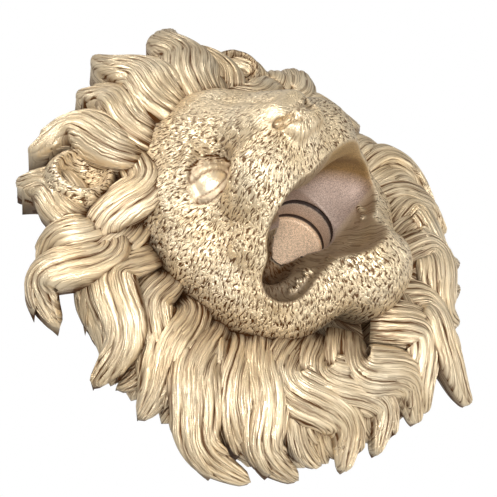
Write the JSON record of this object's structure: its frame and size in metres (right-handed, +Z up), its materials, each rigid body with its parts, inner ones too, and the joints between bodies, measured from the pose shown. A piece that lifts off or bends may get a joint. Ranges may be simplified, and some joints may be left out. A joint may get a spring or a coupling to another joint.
{
  "type": "lion head wall mask",
  "caption": "Cast lion head for a wall, with a full mane of curling locks, a wide open mouth and a round bore in the mouth.",
  "frame": {"origin": "on the flat back, against the wall, level with the axis of the bore in the mouth", "axes": "+Z up, the lion looks along -Y, its left is +X, and the wall is the plane y = 0"},
  "size_m": [0.2112, 0.082, 0.2376],
  "materials": {
    "gold_paint": "cast resin with champagne gold metallic paint and a dark brown wash in the hollows"
  },
  "bodies": {
    "root": {"lion_mask": "gold_paint"}
  },
  "joints": []
}
